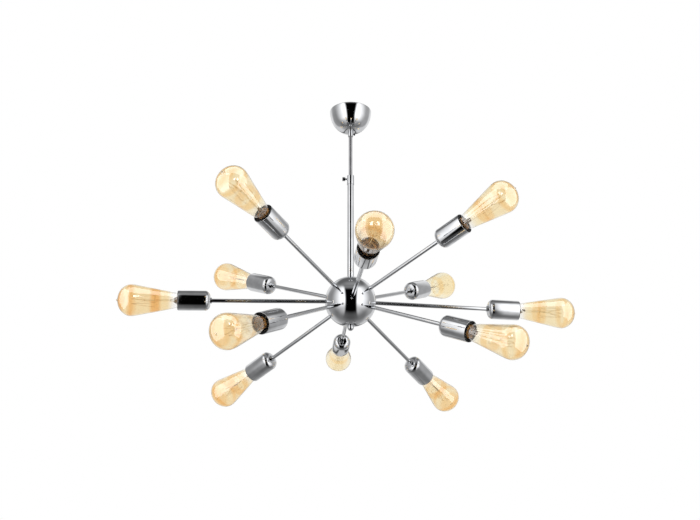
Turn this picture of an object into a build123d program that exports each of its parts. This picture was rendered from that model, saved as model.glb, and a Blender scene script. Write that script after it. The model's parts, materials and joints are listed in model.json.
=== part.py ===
from build123d import *
import math
import os

# Sputnik chandelier: a canopy, a two-part telescopic stem, a hollow ball and twelve arms that each
# end in a lamp cup with a pear-shaped bulb. Millimetres, +Z up. The origin lies on the ceiling, on the
# stem's axis. The front, which faces the viewer, is -Y.

# ---------------------------------------------------------------- driving dimensions

FIT = 0.05            # running clearance on the radius, between pieces that slide or turn
SEAT = 0.1            # clearance on the radius, between pieces that are screwed or pushed together
CUT_PAST = 1.0        # how far a cut runs on past the surface it opens

# Ceiling bracket: a strap with two feet on the ceiling and a lowered middle
BRACKET_LENGTH = 84.0
BRACKET_WIDTH = 18.0
BRACKET_SHEET = 2.0
BRACKET_DROP = 12.0           # from the ceiling to the top of the middle plate
FOOT_LENGTH = 18.0
SLOT_SPACING = 64.0
SLOT_LENGTH = 12.0
SLOT_WIDTH = 5.0

EARTH_SCREW_X = -16.0
EARTH_SCREW_RADIUS = 2.0
EARTH_HEAD_RADIUS = 3.6
EARTH_HEAD_HEIGHT = 2.4
EARTH_SCREW_LENGTH = 8.0

TERMINAL_X = 16.0             # middle of the block
TERMINAL_LENGTH = 12.0        # along X
TERMINAL_WIDTH = 17.0         # along Y
TERMINAL_HEIGHT = 12.0
TERMINAL_POLES = 3
TERMINAL_SCREW_RADIUS = 1.6
TERMINAL_SCREW_DEPTH = 7.0
TERMINAL_SCREW_SUNK = 0.8

# Upper rod and its fastenings
ROD_RADIUS = 4.0
ROD_BORE_RADIUS = 2.6
ROD_TOP = 3.0                 # below the ceiling
ROD_LENGTH = 297.0
ROD_NUT_FLATS = 13.0
ROD_NUT_HEIGHT = 5.0
STOP_HEIGHT = 6.0

# Canopy
CANOPY_RADIUS = 46.0
CANOPY_DEPTH = 50.0
CANOPY_WALL = 1.2
CANOPY_LAND_RADIUS = 7.0      # flat round the rod's hole
COLLAR_RADIUS = 5.8
COLLAR_HEIGHT = 12.0
COLLAR_SCREW_RADIUS = 1.5
COLLAR_SCREW_REACH = 10.0     # from the axis to the head's outer face
COLLAR_HEAD_RADIUS = 2.6
COLLAR_HEAD_LENGTH = 2.8

# Drop tube, its clamp and the split bush
TUBE_RADIUS = 7.0
TUBE_BORE_RADIUS = 5.0
CLAMP_TOP = 158.0             # below the ceiling
CLAMP_HEIGHT = 21.0
CLAMP_RADIUS = 7.8
CLAMP_LIP = 2.0
BUSH_RADIUS = 6.0
BUSH_HEIGHT = 12.0
BUSH_SLIT = 1.0
AXIAL_PLAY = 0.2
CLAMP_SCREW_RADIUS = 2.0
CLAMP_HEAD_RADIUS = 4.3
CLAMP_HEAD_LENGTH = 6.0
CLAMP_HEAD_GAP = 4.0          # bare shank between collar and head
KNURL_COUNT = 24
KNURL_DEPTH = 0.3

# Hub
HUB_DROP = 445.0              # from the ceiling to the ball's centre
HUB_RADIUS = 53.0
HUB_WALL = 1.5
CAP_EDGE_RADIUS = 19.0        # of the bottom opening, at the ball's outside
CAP_GAP = 0.1
TIE_BORE_RADIUS = 3.5
TIE_INTO_TUBE = 13.0
TIE_INTO_FINIAL = 5.0
TIE_WINDOW_WIDTH = 4.0
TIE_WINDOW_HEIGHT = 30.0
FINIAL_RADIUS = 6.9
FINIAL_SKIRT = 3.0

# Arms: azimuths from the front, positive to the viewer's right, as the arms stand in the hub
ARM_RADIUS = 4.0
SPIGOT_RADIUS = 3.5
ARM_BORE_RADIUS = 2.4
SPIGOT_LENGTH = 15.0
ARM_NUT_FLATS = 11.0
ARM_NUT_HEIGHT = 5.0
CUP_NUT_HEIGHT = 3.0
LONG_REACH = 288.0            # from the ball's centre to the cup's base
SHORT_REACH = 239.0
LEVEL_RISE_ANGLE = -2.0        # degrees above the horizontal
UPPER_RISE_ANGLE = 19.5
LOWER_RISE_ANGLE = -21.5
LEVEL_AZIMUTHS = (-1.0, 88.0, 178.0, -88.0)
UPPER_AZIMUTHS = (44.0, 137.0, -134.0, -41.0)
LOWER_AZIMUTHS = (46.0, 137.0, -135.0, -41.0)

# Socket cup
CUP_RADIUS = 20.5
CUP_LENGTH = 64.0
CUP_WALL = 0.8
CUP_LAND_RADIUS = 8.5
CUP_SHOULDER = 11.0           # length of the rounded end

# Lamp holder inside the cup. Depths are from the cup's rim, inward.
HOLDER_PROUD = 1.0
HOLDER_MOUTH_RADIUS = 15.8
HOLDER_MOUTH_DEPTH = 4.0
HOLDER_BODY_DEPTH = 48.0
HOLDER_NECK_RADIUS = 7.5
HOLDER_FLOOR_DEPTH = 29.0
HOLDER_GRIP = 12.0            # length of tube inside the holder's neck and block
SHELL_RADIUS = 14.2
SHELL_WALL = 0.5
SHELL_LENGTH = 19.0
CONTACT_RADIUS = 3.5

# Bulb. Heights are from the cup's rim, outward.
BULB_RADIUS = 32.0
BULB_WIDEST = 93.0
BULB_CROWN = 27.0             # from the widest place to the crown's top
BULB_CONE_ANGLE = 11.0        # half angle of the tapering body
BULB_SHOULDER_RADIUS = 50.0
BULB_WALL = 0.8
NIPPLE_RADIUS = 2.6
NIPPLE_HEIGHT = 3.0
BULB_CAP_TOP = -3.0
BULB_CAP_LENGTH = 24.0
BULB_CAP_RADIUS = 13.2
BULB_CAP_WALL = 0.4
BULB_NECK_IN_CAP = 8.0
BULB_CONTACT_RADIUS = 4.5
BULB_CONTACT_HEIGHT = 1.6
STEM_RADIUS = 4.5
STEM_FOOT = 2.0               # thickness of the stem's foot, in the neck
STEM_TOP = 40.0

# ---------------------------------------------------------------- sizes that follow

HUB = Vector(0, 0, -HUB_DROP)
HUB_INNER = HUB_RADIUS - HUB_WALL
HUB_LAND = math.sqrt(HUB_RADIUS**2 - TUBE_RADIUS**2)       # height of the flat under the tube
PLATE_TOP = -BRACKET_DROP
PLATE_BOTTOM = PLATE_TOP - BRACKET_SHEET
ROD_BOTTOM = -ROD_TOP - ROD_LENGTH
BUSH_TOP = -CLAMP_TOP - CLAMP_LIP - AXIAL_PLAY
BUSH_BOTTOM = BUSH_TOP - BUSH_HEIGHT
TUBE_TOP = BUSH_BOTTOM - AXIAL_PLAY
TUBE_BOTTOM = -HUB_DROP + HUB_LAND
CLAMP_SCREW_HEIGHT = (BUSH_TOP + BUSH_BOTTOM) / 2
TIE_RADIUS = TUBE_BORE_RADIUS - SEAT
FINIAL_BASE = -HUB_DROP - HUB_LAND
TIE_TOP = TUBE_BOTTOM + TIE_INTO_TUBE
TIE_BOTTOM = FINIAL_BASE - TIE_INTO_FINIAL
CUP_INNER = CUP_RADIUS - CUP_WALL
HOLDER_RADIUS = CUP_INNER - SEAT
BULB_NECK_LOW = BULB_CAP_TOP - BULB_NECK_IN_CAP


# ---------------------------------------------------------------- helpers

def turned(*edges):
    """Solid of revolution about Z. The edges close an outline of (radius, height)."""
    face = Plane.XZ * make_face(edges)
    return revolve(face, Axis.Z)


def turned_points(*points):
    """Solid of revolution about Z from straight runs between (radius, height) points."""
    return turned(*Polyline(*points, close=True).edges())


def tube(outer, inner, low, high):
    """Round tube on Z."""
    return turned_points((inner, low), (outer, low), (outer, high), (inner, high))


def rod(radius, low, high):
    """Round bar on Z."""
    return Pos(0, 0, low) * Cylinder(radius, high - low, align=(Align.CENTER, Align.CENTER, Align.MIN))


def hexagon_nut(flats, bore, low, high):
    """Hexagonal nut on Z, with its bore's radius."""
    body = extrude(RegularPolygon(flats / 2, 6, major_radius=False), high - low)
    return Pos(0, 0, low) * body - rod(bore, low, high)


def thumbscrew(shank, tip, head, head_start, head_end):
    """Screw on Z from its tip outward, with a fluted head."""
    screw = rod(shank, tip, head_start) + rod(head, head_start, head_end)
    for index in range(KNURL_COUNT):
        angle = 360.0 * index / KNURL_COUNT
        flute = rod(KNURL_DEPTH, head_start, head_end)
        screw -= Rot(0, 0, angle) * (Pos(head, 0, 0) * flute)
    return screw


def save(name, solids):
    """Writes one node. Several solids stay separate in one file."""
    if isinstance(solids, list):
        solids = Compound(children=solids)
    export_step(solids, f"parts/{name}.step")


# ---------------------------------------------------------------- ceiling bracket and rod

def ceiling_bracket():
    half = BRACKET_LENGTH / 2
    inner = half - FOOT_LENGTH
    profile = Polyline(
        (-half, 0), (-inner, 0), (-inner, PLATE_TOP), (inner, PLATE_TOP), (inner, 0), (half, 0),
        (half, -BRACKET_SHEET), (inner + BRACKET_SHEET, -BRACKET_SHEET),
        (inner + BRACKET_SHEET, PLATE_BOTTOM), (-inner - BRACKET_SHEET, PLATE_BOTTOM),
        (-inner - BRACKET_SHEET, -BRACKET_SHEET), (-half, -BRACKET_SHEET), close=True)
    strap = extrude(Plane.XZ * make_face(profile), BRACKET_WIDTH / 2, both=True)
    for side in (-1, 1):
        slot = extrude(SlotOverall(SLOT_LENGTH, SLOT_WIDTH), BRACKET_SHEET, both=True)
        strap -= Pos(side * SLOT_SPACING / 2, 0, -BRACKET_SHEET / 2) * slot
    strap -= rod(ROD_RADIUS + SEAT, PLATE_BOTTOM, PLATE_TOP)
    strap -= Pos(EARTH_SCREW_X, 0, 0) * rod(EARTH_SCREW_RADIUS + FIT, PLATE_BOTTOM, PLATE_TOP)
    return strap


def rod_nuts():
    upper = hexagon_nut(ROD_NUT_FLATS, ROD_RADIUS + FIT, PLATE_TOP, PLATE_TOP + ROD_NUT_HEIGHT)
    lower = hexagon_nut(ROD_NUT_FLATS, ROD_RADIUS + FIT, PLATE_BOTTOM - ROD_NUT_HEIGHT, PLATE_BOTTOM)
    return [upper, lower]


def earth_screw():
    head_low = PLATE_BOTTOM - EARTH_HEAD_HEIGHT
    screw = rod(EARTH_SCREW_RADIUS, PLATE_BOTTOM, PLATE_BOTTOM + EARTH_SCREW_LENGTH)
    screw += rod(EARTH_HEAD_RADIUS, head_low, PLATE_BOTTOM)
    slot = Box(2 * EARTH_HEAD_RADIUS, EARTH_HEAD_HEIGHT / 3, EARTH_HEAD_HEIGHT / 2)
    screw -= Pos(0, 0, head_low) * slot
    return Pos(EARTH_SCREW_X, 0, 0) * screw


def terminal_places():
    """Where the terminal block's screws stand along Y."""
    pitch = TERMINAL_WIDTH / TERMINAL_POLES
    return [pitch * (index - (TERMINAL_POLES - 1) / 2) for index in range(TERMINAL_POLES)]


def terminal_block():
    block = Box(TERMINAL_LENGTH, TERMINAL_WIDTH, TERMINAL_HEIGHT)
    block = Pos(TERMINAL_X, 0, PLATE_BOTTOM - TERMINAL_HEIGHT / 2) * block
    low = PLATE_BOTTOM - TERMINAL_HEIGHT
    for place in terminal_places():
        hole = rod(TERMINAL_SCREW_RADIUS + FIT, low, low + TERMINAL_SCREW_DEPTH)
        block -= Pos(TERMINAL_X, place, 0) * hole
    return block


def terminal_screws():
    low = PLATE_BOTTOM - TERMINAL_HEIGHT
    screw = rod(TERMINAL_SCREW_RADIUS, low + TERMINAL_SCREW_SUNK, low + TERMINAL_SCREW_DEPTH)
    return [Pos(TERMINAL_X, place, 0) * screw for place in terminal_places()]


def upper_rod():
    return tube(ROD_RADIUS, ROD_BORE_RADIUS, ROD_BOTTOM, -ROD_TOP)


def rod_stop():
    return tube(TUBE_BORE_RADIUS - SEAT, ROD_RADIUS + FIT / 2, ROD_BOTTOM, ROD_BOTTOM + STOP_HEIGHT)


# ---------------------------------------------------------------- canopy

def canopy_cup():
    """Spun cup: a flat land round the rod, then a quarter ellipse up to the rim."""
    hole = ROD_RADIUS + SEAT
    reach = CANOPY_RADIUS - CANOPY_LAND_RADIUS
    centre = (CANOPY_LAND_RADIUS, 0)
    inner_depth = CANOPY_DEPTH - CANOPY_WALL
    outer = EllipticalCenterArc(centre, reach, CANOPY_DEPTH, 270, arc_size=90)
    inner = EllipticalCenterArc(centre, reach - CANOPY_WALL, inner_depth, 270, arc_size=90)
    return turned(
        Line((hole, -CANOPY_DEPTH), (CANOPY_LAND_RADIUS, -CANOPY_DEPTH)), outer,
        Line((CANOPY_RADIUS, 0), (CANOPY_RADIUS - CANOPY_WALL, 0)), inner,
        Line((CANOPY_LAND_RADIUS, -inner_depth), (hole, -inner_depth)),
        Line((hole, -inner_depth), (hole, -CANOPY_DEPTH)))


def canopy_screw_place():
    """Plane of the canopy's thumbscrew: on the rod's axis, looking right."""
    return Plane(origin=(0, 0, -CANOPY_DEPTH - COLLAR_HEIGHT / 2), z_dir=(1, 0, 0))


def canopy_collar():
    bottom = -CANOPY_DEPTH - COLLAR_HEIGHT
    collar = tube(COLLAR_RADIUS, ROD_RADIUS + FIT, bottom, -CANOPY_DEPTH)
    return collar - canopy_screw_place().location * rod(COLLAR_SCREW_RADIUS + FIT, 0, COLLAR_RADIUS + CUT_PAST)


def canopy_screw():
    head_start = COLLAR_SCREW_REACH - COLLAR_HEAD_LENGTH
    screw = thumbscrew(COLLAR_SCREW_RADIUS, ROD_RADIUS + FIT, COLLAR_HEAD_RADIUS, head_start,
                       COLLAR_SCREW_REACH)
    return canopy_screw_place().location * screw


# ---------------------------------------------------------------- drop tube and clamp

def drop_tube():
    return tube(TUBE_RADIUS, TUBE_BORE_RADIUS, TUBE_BOTTOM, TUBE_TOP)


def tube_bush():
    """Split ring that slides on the rod and that the clamp screw squeezes."""
    bush = tube(BUSH_RADIUS, ROD_RADIUS + FIT, BUSH_BOTTOM, BUSH_TOP)
    middle = (BUSH_TOP + BUSH_BOTTOM) / 2
    return bush - Pos(BUSH_RADIUS, 0, middle) * Box(2 * BUSH_RADIUS, BUSH_SLIT, 2 * BUSH_HEIGHT)


def clamp_screw_place():
    """Plane of the clamp screw: on the stem's axis, looking left."""
    return Plane(origin=(0, 0, CLAMP_SCREW_HEIGHT), z_dir=(-1, 0, 0))


def clamp_collar():
    """Collar on the tube's head: a lip over the bush, and a skirt round the tube."""
    top = -CLAMP_TOP
    bottom = top - CLAMP_HEIGHT
    collar = turned_points(
        (TUBE_RADIUS + SEAT / 2, bottom), (CLAMP_RADIUS, bottom), (CLAMP_RADIUS, top),
        (ROD_RADIUS + 4 * FIT, top), (ROD_RADIUS + 4 * FIT, top - CLAMP_LIP),
        (BUSH_RADIUS + FIT, top - CLAMP_LIP), (BUSH_RADIUS + FIT, TUBE_TOP),
        (TUBE_RADIUS + SEAT / 2, TUBE_TOP))
    return collar - clamp_screw_place().location * rod(CLAMP_SCREW_RADIUS + FIT, 0, CLAMP_RADIUS + CUT_PAST)


def clamp_screw():
    head_start = CLAMP_RADIUS + CLAMP_HEAD_GAP
    screw = thumbscrew(CLAMP_SCREW_RADIUS, BUSH_RADIUS + 2 * FIT, CLAMP_HEAD_RADIUS, head_start,
                       head_start + CLAMP_HEAD_LENGTH)
    return clamp_screw_place().location * screw


# ---------------------------------------------------------------- hub

def hub_shell():
    """Hollow ball, with flat lands under the tube and under the finial."""
    shell = Sphere(HUB_RADIUS) - Sphere(HUB_INNER)
    return shell & Box(3 * HUB_RADIUS, 3 * HUB_RADIUS, 2 * HUB_LAND)


def cap_cone(gap):
    """Cone from the ball's centre through the bottom opening's edge, moved out by a gap."""
    edge_depth = math.sqrt(HUB_RADIUS**2 - CAP_EDGE_RADIUS**2)
    reach = HUB_RADIUS * 1.2
    radius = (CAP_EDGE_RADIUS + gap) * reach / edge_depth
    return turned_points((0, 0), (0, -reach), (radius, -reach))


def hub_ball():
    ball = hub_shell() - cap_cone(0)
    ball -= rod(TIE_RADIUS + SEAT, 0, HUB_RADIUS)
    for _, _, frame in ARMS:
        ball -= frame_at_centre(frame) * rod(SPIGOT_RADIUS + FIT, HUB_INNER / 2, HUB_RADIUS * 1.1)
    return Pos(HUB) * ball


def hub_bottom_cap():
    cap = (hub_shell() & cap_cone(-CAP_GAP)) - rod(TIE_RADIUS + SEAT, -HUB_RADIUS, 0)
    return Pos(HUB) * cap


def hub_tie_tube():
    """Threaded tube that pulls drop tube, ball, cap and finial together, with windows for the wires."""
    tie = tube(TIE_RADIUS, TIE_BORE_RADIUS, TIE_BOTTOM, TIE_TOP)
    for angle in (0, 90):
        window = Box(4 * TIE_RADIUS, TIE_WINDOW_WIDTH, TIE_WINDOW_HEIGHT)
        tie -= Pos(HUB) * Rot(0, 0, angle) * window
    return tie


def finial():
    """Dome nut: a short skirt and a half ball, with a blind hole for the tie tube."""
    skirt_low = FINIAL_BASE - FINIAL_SKIRT
    hole_top = FINIAL_BASE - TIE_INTO_FINIAL - SEAT
    hole = TIE_RADIUS + FIT / 2
    dome = CenterArc((0, skirt_low), FINIAL_RADIUS, 270, 90)
    return turned(
        dome, Line((FINIAL_RADIUS, skirt_low), (FINIAL_RADIUS, FINIAL_BASE)),
        Line((FINIAL_RADIUS, FINIAL_BASE), (hole, FINIAL_BASE)), Line((hole, FINIAL_BASE), (hole, hole_top)),
        Line((hole, hole_top), (0, hole_top)), Line((0, hole_top), (0, skirt_low - FINIAL_RADIUS)))


# ---------------------------------------------------------------- arms

def arm_frame(azimuth, elevation):
    """Location of an arm: its Z runs out from the ball's centre, its X stays level."""
    turn = math.radians(azimuth)
    rise = math.radians(elevation)
    out = Vector(math.sin(turn) * math.cos(rise), -math.cos(turn) * math.cos(rise), math.sin(rise))
    level = Vector(math.cos(turn), math.sin(turn), 0)
    return Plane(origin=HUB, x_dir=level, z_dir=out).location


def frame_at_centre(frame):
    """The same arm's location with the ball's centre moved to the origin."""
    return Pos(-HUB) * frame


def arms():
    """Number, reach and location of each arm: 1-4 level, 5-8 rising, 9-12 falling."""
    rings = [(LEVEL_AZIMUTHS, LEVEL_RISE_ANGLE, LONG_REACH), (UPPER_AZIMUTHS, UPPER_RISE_ANGLE, SHORT_REACH),
             (LOWER_AZIMUTHS, LOWER_RISE_ANGLE, SHORT_REACH)]
    listed = []
    for azimuths, elevation, reach in rings:
        for azimuth in azimuths:
            listed.append((len(listed) + 1, reach, arm_frame(azimuth, elevation)))
    return listed


ARMS = arms()


def arm_tube(reach):
    """Tube with a thinner spigot through the ball's wall and a plain end inside the lamp holder."""
    inner_end = HUB_RADIUS - SPIGOT_LENGTH
    outer_end = reach + HOLDER_GRIP
    return turned_points(
        (ARM_BORE_RADIUS, inner_end), (SPIGOT_RADIUS, inner_end), (SPIGOT_RADIUS, HUB_RADIUS),
        (ARM_RADIUS, HUB_RADIUS), (ARM_RADIUS, outer_end), (ARM_BORE_RADIUS, outer_end))


def arm_nut():
    """Nut inside the ball: its outer corners lie on the ball's inner face."""
    corner = ARM_NUT_FLATS / math.sqrt(3)
    face = math.sqrt(HUB_INNER**2 - corner**2)
    return hexagon_nut(ARM_NUT_FLATS, SPIGOT_RADIUS + FIT, face - ARM_NUT_HEIGHT, face)


def cup_nut(reach):
    return hexagon_nut(ARM_NUT_FLATS, ARM_RADIUS + FIT, reach - CUP_NUT_HEIGHT, reach)


def socket_cup(reach):
    """Deep cup: a flat base, a rounded shoulder and a straight wall up to the rim."""
    hole = ARM_RADIUS + SEAT
    rim = reach + CUP_LENGTH
    shoulder = reach + CUP_SHOULDER
    span = CUP_RADIUS - CUP_LAND_RADIUS
    centre = (CUP_LAND_RADIUS, shoulder)
    outer = EllipticalCenterArc(centre, span, CUP_SHOULDER, 270, arc_size=90)
    inner = EllipticalCenterArc(centre, span - CUP_WALL, CUP_SHOULDER - CUP_WALL, 270, arc_size=90)
    floor = reach + CUP_WALL
    return turned(
        Line((hole, reach), (CUP_LAND_RADIUS, reach)), outer, Line((CUP_RADIUS, shoulder), (CUP_RADIUS, rim)),
        Line((CUP_RADIUS, rim), (CUP_INNER, rim)), Line((CUP_INNER, rim), (CUP_INNER, shoulder)), inner,
        Line((CUP_LAND_RADIUS, floor), (hole, floor)), Line((hole, floor), (hole, reach)))


def lamp_holder(reach):
    """Moulded holder: a ring at the mouth, a pocket for the threaded shell, a block and a neck."""
    rim = reach + CUP_LENGTH
    mouth = rim + HOLDER_PROUD
    pocket = SHELL_RADIUS + FIT
    floor = rim - HOLDER_FLOOR_DEPTH
    block = rim - HOLDER_BODY_DEPTH
    neck = reach + CUP_WALL
    tube_end = reach + HOLDER_GRIP
    grip = ARM_RADIUS + FIT
    return turned_points(
        (0, floor), (pocket, floor), (pocket, rim - HOLDER_MOUTH_DEPTH),
        (HOLDER_MOUTH_RADIUS, rim - HOLDER_MOUTH_DEPTH), (HOLDER_MOUTH_RADIUS, mouth),
        (HOLDER_RADIUS, mouth), (HOLDER_RADIUS, block), (HOLDER_NECK_RADIUS, block),
        (HOLDER_NECK_RADIUS, neck), (grip, neck), (grip, tube_end), (0, tube_end))


def holder_contacts(reach):
    """Threaded shell that the bulb turns in, and the centre contact under it."""
    rim = reach + CUP_LENGTH
    floor = rim - HOLDER_FLOOR_DEPTH
    shell = tube(SHELL_RADIUS, SHELL_RADIUS - SHELL_WALL, floor, floor + SHELL_LENGTH)
    contact_top = rim + BULB_CAP_TOP - BULB_CAP_LENGTH - BULB_CONTACT_HEIGHT - AXIAL_PLAY
    return [shell, rod(CONTACT_RADIUS, floor, contact_top)]


# ---------------------------------------------------------------- bulb

def bulb_outline(inset):
    """Envelope's outline from the neck to the crown's top, moved inward by the inset.

    The neck leaves the screw cap straight, flares at 45 degrees to the cone, and a long shoulder arc
    leads from the cone to the elliptical crown.
    """
    slope = math.tan(math.radians(BULB_CONE_ANGLE))
    radius = BULB_RADIUS - inset
    shoulder = BULB_SHOULDER_RADIUS - inset
    shoulder_arc = CenterArc((radius - shoulder, BULB_WIDEST), shoulder, -BULB_CONE_ANGLE, BULB_CONE_ANGLE)
    cone_end = shoulder_arc @ 0
    neck_radius = BULB_CAP_RADIUS - BULB_CAP_WALL - SEAT - inset
    flare_low = BULB_CAP_TOP + SEAT
    flare_high = (cone_end.X - slope * cone_end.Y - neck_radius + flare_low) / (1 - slope)
    flare_radius = neck_radius + flare_high - flare_low
    neck = Line((neck_radius, BULB_NECK_LOW), (neck_radius, flare_low))
    flare = Line((neck_radius, flare_low), (flare_radius, flare_high))
    cone = Line((flare_radius, flare_high), (cone_end.X, cone_end.Y))
    crown = EllipticalCenterArc((0, BULB_WIDEST), radius, BULB_CROWN - inset, 0, arc_size=90)
    return neck, flare, cone, shoulder_arc, crown


def bulb_envelope():
    outer = bulb_outline(0)
    inner = bulb_outline(BULB_WALL)
    top_outer = (0, BULB_WIDEST + BULB_CROWN)
    top_inner = (0, BULB_WIDEST + BULB_CROWN - BULB_WALL)
    shell = turned(*outer, Line(top_outer, top_inner), *inner, Line(inner[0] @ 0, outer[0] @ 0))
    nipple_low = BULB_WIDEST + BULB_CROWN - BULB_WALL / 2
    nipple = Pos(0, 0, nipple_low) * Cone(NIPPLE_RADIUS, NIPPLE_RADIUS / 4, NIPPLE_HEIGHT,
                                          align=(Align.CENTER, Align.CENTER, Align.MIN))
    return shell + nipple


def bulb_cap():
    """Screw cap: a thin shell round the neck, closed below by the contact button."""
    low = BULB_CAP_TOP - BULB_CAP_LENGTH
    inner = BULB_CAP_RADIUS - BULB_CAP_WALL
    shell = turned_points(
        (0, low), (BULB_CAP_RADIUS, low), (BULB_CAP_RADIUS, BULB_CAP_TOP), (inner, BULB_CAP_TOP),
        (inner, low + BULB_CAP_WALL), (0, low + BULB_CAP_WALL))
    return shell + rod(BULB_CONTACT_RADIUS, low - BULB_CONTACT_HEIGHT, low)


def bulb_stem():
    """Glass stem that stands on the neck and carries the filament."""
    inner = BULB_CAP_RADIUS - BULB_CAP_WALL - SEAT - BULB_WALL - FIT
    foot = BULB_NECK_LOW + STEM_FOOT
    return turned_points(
        (0, BULB_NECK_LOW), (inner, BULB_NECK_LOW), (inner, foot), (STEM_RADIUS, foot + inner - STEM_RADIUS),
        (STEM_RADIUS, STEM_TOP), (0, STEM_TOP))


def bulb():
    return [bulb_envelope(), bulb_cap(), bulb_stem()]


# ---------------------------------------------------------------- write every node

os.makedirs("parts", exist_ok=True)

for piece in (ceiling_bracket, rod_nuts, earth_screw, terminal_block, terminal_screws, upper_rod, rod_stop,
              canopy_cup, canopy_collar, canopy_screw, drop_tube, tube_bush, clamp_collar, clamp_screw,
              hub_ball, hub_bottom_cap, hub_tie_tube, finial):
    save(piece.__name__, piece())

RING_NAMES = ("level", "upper", "lower")
holders = {ring: [] for ring in RING_NAMES}
contacts, inner_nuts, outer_nuts = [], [], []
bulb_solids = bulb()
for number, reach, frame in ARMS:
    save(f"arm_tube_{number:02d}", frame * arm_tube(reach))
    save(f"socket_cup_{number:02d}", frame * socket_cup(reach))
    save(f"bulb_{number:02d}", [frame * Pos(0, 0, reach + CUP_LENGTH) * solid for solid in bulb_solids])
    holders[RING_NAMES[(number - 1) // 4]].append(frame * lamp_holder(reach))
    contacts += [frame * solid for solid in holder_contacts(reach)]
    inner_nuts.append(frame * arm_nut())
    outer_nuts.append(frame * cup_nut(reach))
for ring, solids in holders.items():
    save(f"lamp_holders_{ring}", solids)
save("holder_contacts", contacts)
save("arm_nuts", inner_nuts)
save("cup_nuts", outer_nuts)
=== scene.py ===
# %% [markdown]
# # A sputnik chandelier
#
# Twelve arms stand out of a polished ball like the rays of a star, and each carries a pear-shaped lamp with
# amber glass. The ball hangs on a stem in two parts, a thin rod that slides in a wider tube, under a small
# bell that covers the ceiling hook. Everything that turns, slides or carries weight is already modelled as
# a rigid frame. This lesson dresses that frame: it builds the polished skins, the lamps and their wires,
# gives every surface a finish, and lights it like a studio photograph.
#
# The frame is loaded first and never moved.

import json
import math

import bmesh
import bpy
from mathutils import Matrix, Vector

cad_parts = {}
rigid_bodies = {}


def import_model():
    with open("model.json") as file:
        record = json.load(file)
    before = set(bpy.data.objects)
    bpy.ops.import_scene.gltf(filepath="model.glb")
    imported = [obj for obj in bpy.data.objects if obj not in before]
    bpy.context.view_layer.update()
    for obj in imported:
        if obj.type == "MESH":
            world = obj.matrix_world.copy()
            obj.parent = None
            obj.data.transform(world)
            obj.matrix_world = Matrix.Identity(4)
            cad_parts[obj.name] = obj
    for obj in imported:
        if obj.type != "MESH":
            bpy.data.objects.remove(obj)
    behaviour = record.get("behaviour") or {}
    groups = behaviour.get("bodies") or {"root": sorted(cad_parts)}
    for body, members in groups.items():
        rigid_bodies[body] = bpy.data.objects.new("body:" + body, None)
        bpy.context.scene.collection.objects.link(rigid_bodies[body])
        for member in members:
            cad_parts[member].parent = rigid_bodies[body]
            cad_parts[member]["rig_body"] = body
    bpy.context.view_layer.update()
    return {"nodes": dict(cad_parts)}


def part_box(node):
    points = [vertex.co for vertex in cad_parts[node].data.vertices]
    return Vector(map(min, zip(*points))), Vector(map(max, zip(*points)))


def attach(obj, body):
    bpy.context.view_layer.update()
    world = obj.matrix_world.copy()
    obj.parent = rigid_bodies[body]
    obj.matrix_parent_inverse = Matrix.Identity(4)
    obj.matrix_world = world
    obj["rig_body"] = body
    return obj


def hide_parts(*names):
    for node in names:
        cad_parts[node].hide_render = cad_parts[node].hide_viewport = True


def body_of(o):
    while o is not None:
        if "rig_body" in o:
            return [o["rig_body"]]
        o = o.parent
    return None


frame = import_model()

# %% [markdown]
# ## Where everything stands
#
# The drawing of a lamp is made in millimetres, and Blender works in metres, so one factor turns the first
# into the second. The origin is on the ceiling, on the stem's axis. The ball hangs below it. Each arm is
# given by its compass angle from the front, by its rise and by its reach from the ball's centre to the base
# of its cup. Typing twelve full positions would be longer and easier to get wrong than three short rings.

# %% Sizes and arms
MM = 0.001
HUB = Vector((0, 0, -445)) * MM
HUB_RADIUS = 53.0
CUP_LENGTH = 64.0
RINGS = (
    # rise, reach, compass angles
    (-2.0, 288.0, (-1, 88, 178, -88)),       # level
    (19.5, 239.0, (44, 137, -134, -41)),     # rising
    (-21.5, 239.0, (46, 137, -135, -41)),    # falling
)
ARMS = [(azimuth, rise, reach) for rise, reach, azimuths in RINGS for azimuth in azimuths]
print(len(ARMS), "arms")


def direction(azimuth, rise):
    """Unit vector for a compass angle from the front, -Y, positive to the right, and a rise."""
    turn, lift = math.radians(azimuth), math.radians(rise)
    return Vector((math.sin(turn) * math.cos(lift), -math.cos(turn) * math.cos(lift), math.sin(lift)))


def arm_place(azimuth, rise, along=0.0):
    """Matrix of a piece on an arm: its own Z runs outward and its own X stays level."""
    out = direction(azimuth, rise)
    level = direction(azimuth + 90, 0)
    place = Matrix((level, out.cross(level), out)).transposed().to_4x4()
    place.translation = HUB + out * along * MM
    return place


# %% [markdown]
# ## The camera
#
# The picture was taken from below and a little from the left, with a moderately long lens, so that the arms
# in front look only slightly larger than those behind. The camera is aimed at the ball and then tipped up
# until the ball sits below the middle of the picture. A shifted lens would do the same, but then the
# horizon of every other view would move as well.

# %% Camera
PICTURE_WIDTH = 700
CAMERA_AZIMUTH, CAMERA_RISE = -6.0, -17.0
CAMERA_DISTANCE = 1.847
FOCAL_PIXELS = 888.0
BALL_BELOW_MIDDLE, BALL_RIGHT_OF_MIDDLE = 41.7, 0.6

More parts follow.
